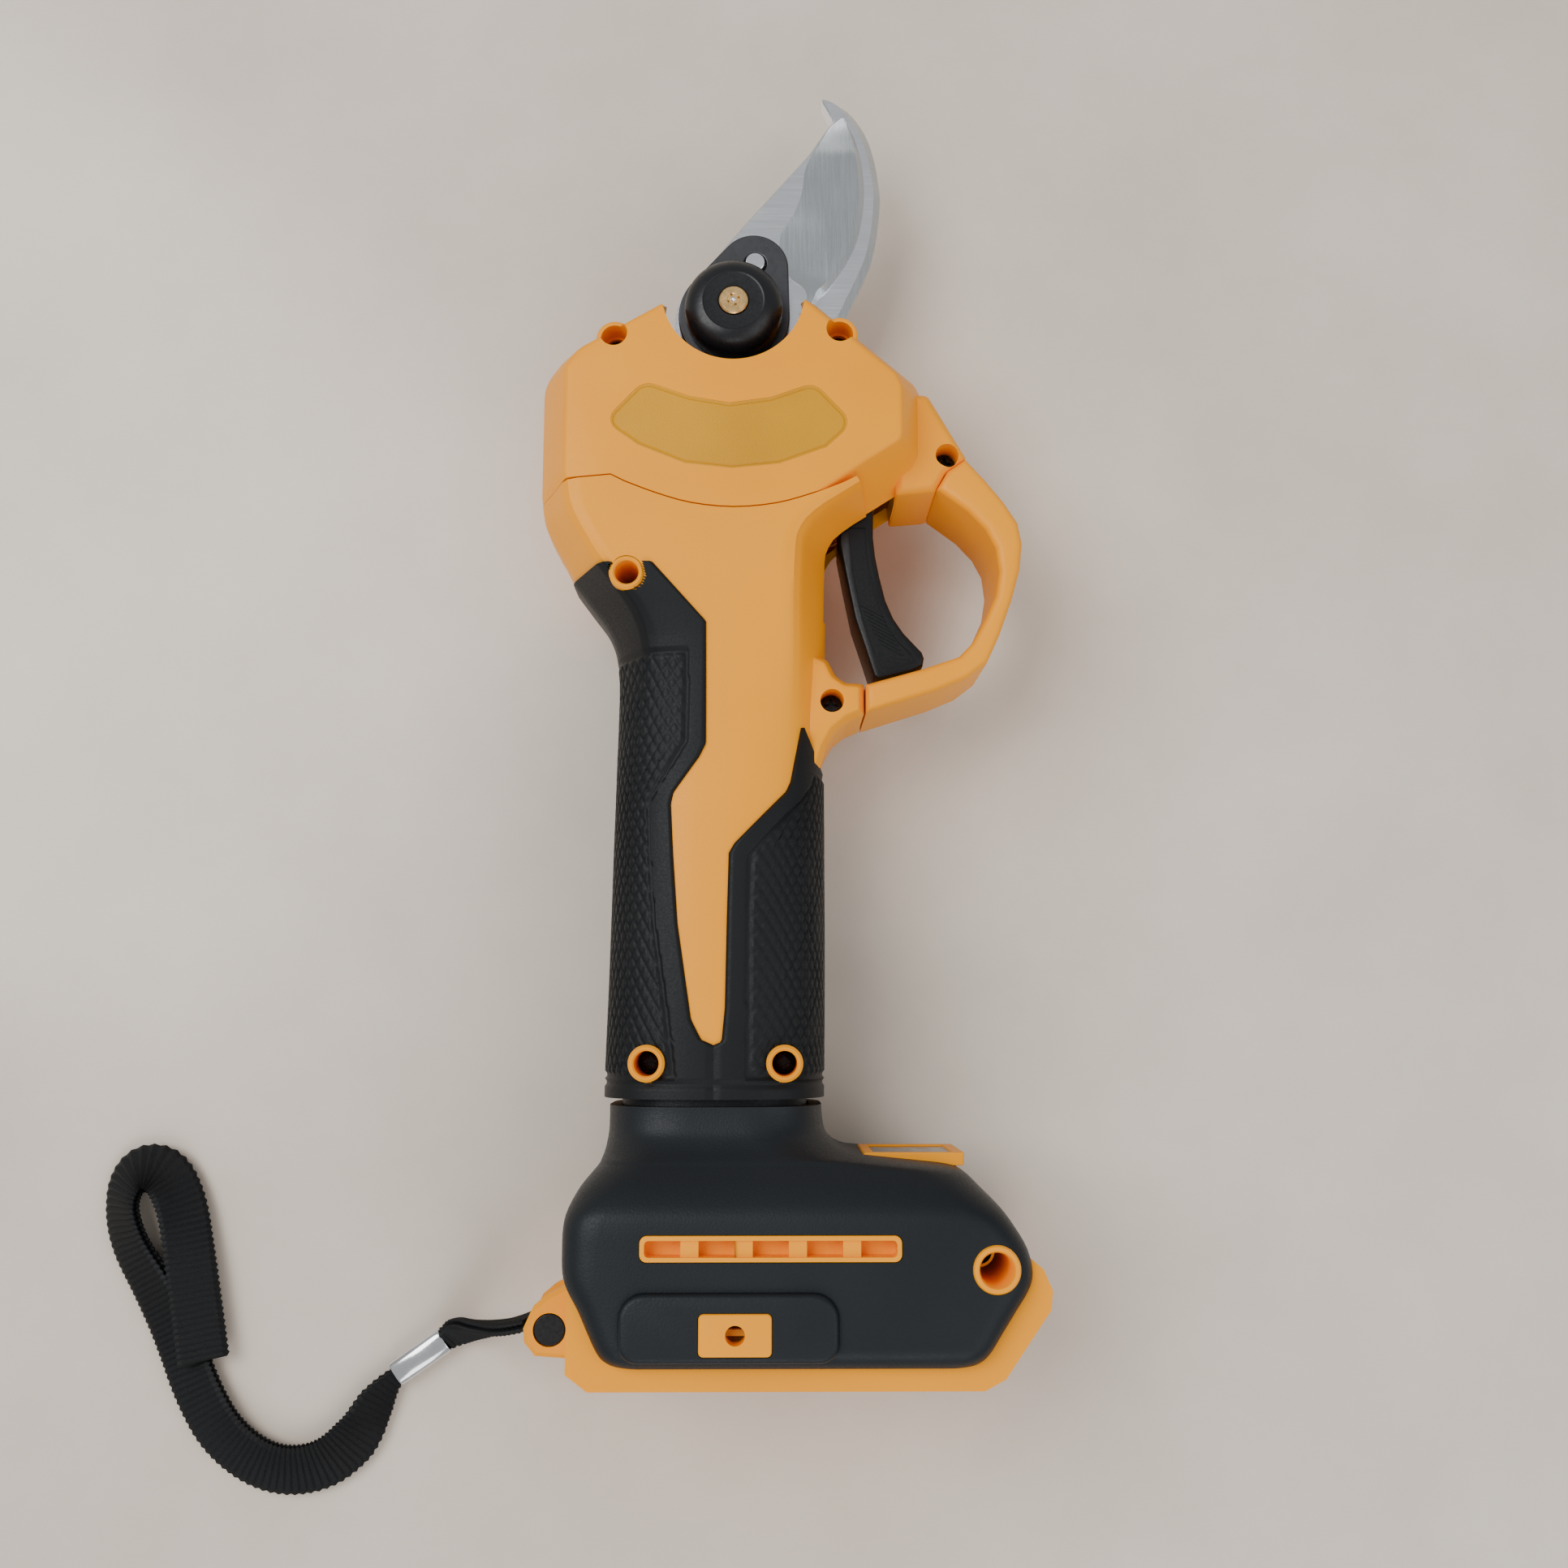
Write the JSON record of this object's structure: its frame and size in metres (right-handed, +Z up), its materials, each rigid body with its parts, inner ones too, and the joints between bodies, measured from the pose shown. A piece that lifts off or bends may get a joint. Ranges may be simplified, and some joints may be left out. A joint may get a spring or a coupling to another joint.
{
  "type": "battery electric pruner",
  "caption": "Pistol-less inline electric pruner: bypass blades driven through a bevel segment and planetary gear, rubber grip, trigger in a loop guard, battery foot and wrist strap.",
  "frame": {"origin": "centre of the tool's footprint on the floor it lies on, without the wrist strap", "axes": "+Z up from the floor, +Y towards the blades, +X towards the trigger; the tool lies on its side, its blade pivot leaning about 2.8 degrees from +Z"},
  "size_m": [0.1902, 0.2936, 0.063],
  "materials": {
    "shell_yellow": "fine-grained orange-yellow moulded plastic",
    "label_gold": "grained darker gold plate",
    "grip_rubber": "black moulded rubber with raised scales",
    "cover_black": "fine-grained blue-black plastic",
    "trigger_black": "black satin plastic",
    "blade_steel": "ground and brushed blade steel",
    "plate_dark": "dark phosphated steel",
    "fastener_black": "black oxide steel",
    "brass": "turned brass",
    "cast_aluminium": "bead-blasted aluminium",
    "gear_steel": "machined steel",
    "motor_can": "zinc-plated drawn steel",
    "magnet_grey": "ferrite",
    "winding_copper": "laminations and copper winding",
    "board_green": "solder-masked board",
    "window_dark": "smoked window",
    "lead_red": "insulated leads",
    "webbing_black": "woven nylon webbing",
    "crimp_steel": "pressed steel sleeve"
  },
  "bodies": {
    "housing": {"head_cover_upper": "shell_yellow", "head_cover_lower": "shell_yellow", "label_plate_upper": "label_gold", "label_plate_lower": "label_gold", "main_shell_upper": "shell_yellow", "main_shell_lower": "shell_yellow", "grip_rubber_upper": "grip_rubber", "grip_rubber_lower": "grip_rubber", "trigger_guard": "shell_yellow", "battery_frame": "shell_yellow", "foot_cover_upper": "cover_black", "foot_cover_lower": "cover_black", "vent_grille_upper": "shell_yellow", "vent_grille_lower": "shell_yellow", "latch_window_upper": "shell_yellow", "latch_window_lower": "shell_yellow", "display_bezel": "shell_yellow", "display_window": "window_dark", "display_board": "board_green", "hook_blade": "blade_steel", "pivot_bolt": "fastener_black", "pivot_nut": "fastener_black", "adjuster_screw": "brass", "gear_case": "cast_aluminium", "tang_screws": "fastener_black", "output_bearing": "gear_steel", "ring_gear": "gear_steel", "motor_mount": "cast_aluminium", "motor_can": "motor_can", "motor_magnets": "magnet_grey", "motor_cap": "cover_black", "trigger_pin": "gear_steel", "trigger_spring": "gear_steel", "trigger_switch": "cover_black", "control_board": "board_green", "power_leads": "lead_red", "terminal_block": "cover_black", "terminal_contacts": "brass", "head_screws": "fastener_black", "guard_screws": "fastener_black", "grip_screws": "fastener_black", "lug_screw": "fastener_black", "strap_lead": "webbing_black", "strap_doubled": "webbing_black", "strap_loop": "webbing_black", "strap_crimp": "crimp_steel"},
    "cutter": {"moving_blade": "blade_steel", "blade_bush": "brass", "lock_plate": "plate_dark", "lock_pin": "blade_steel", "bevel_segment": "gear_steel"},
    "output": {"output_pinion": "gear_steel", "planet_carrier": "gear_steel"},
    "planet_1": {"planet_gear_1": "gear_steel"},
    "planet_2": {"planet_gear_2": "gear_steel"},
    "planet_3": {"planet_gear_3": "gear_steel"},
    "rotor": {"motor_armature": "winding_copper", "sun_gear": "gear_steel"},
    "trigger_lever": {"trigger": "trigger_black"}
  },
  "joints": [
    {"name": "blade_hinge", "type": "hinge", "parent": "housing", "child": "cutter", "pos_m": [-0.01, 0.07804, 0.0219], "axis": [0, 0.0484, 0.9988], "range_deg": [0, 50]},
    {"name": "output_spin", "type": "hinge", "parent": "housing", "child": "output", "pos_m": [-0.01, 0.04807, 0.02335], "axis": [0, 0.9988, -0.0484], "range_deg": [-2, 170]},
    {"name": "planet_spin_1", "type": "hinge", "parent": "output", "child": "planet_1", "pos_m": [-0.01, 0.0402, 0.03238], "axis": [0, 0.9988, -0.0484], "range_deg": [-470, 4]},
    {"name": "planet_spin_2", "type": "hinge", "parent": "output", "child": "planet_2", "pos_m": [-0.01748, 0.03957, 0.01944], "axis": [0, 0.9988, -0.0484], "range_deg": [-470, 4]},
    {"name": "planet_spin_3", "type": "hinge", "parent": "output", "child": "planet_3", "pos_m": [-0.00252, 0.03957, 0.01944], "axis": [0, 0.9988, -0.0484], "range_deg": [-470, 4]},
    {"name": "rotor_spin", "type": "hinge", "parent": "housing", "child": "rotor", "pos_m": [-0.01, 0.03978, 0.02375], "axis": [0, 0.9988, -0.0484], "range_deg": [0, 748]},
    {"name": "trigger_hinge", "type": "hinge", "parent": "housing", "child": "trigger_lever", "pos_m": [0.0155, 0.04108, 0.02369], "axis": [0, -0.0484, -0.9988], "range_deg": [0, 12], "stiffness_Nm_per_rad": 0.3, "springref_deg": -8.59}
  ],
  "couplings": [
    {"joint": "blade_hinge", "follows": "rotor_spin", "ratio": 0.066667},
    {"joint": "output_spin", "follows": "rotor_spin", "ratio": 0.22222},
    {"joint": "planet_spin_1", "follows": "rotor_spin", "ratio": -0.62222},
    {"joint": "planet_spin_2", "follows": "rotor_spin", "ratio": -0.62222},
    {"joint": "planet_spin_3", "follows": "rotor_spin", "ratio": -0.62222}
  ]
}
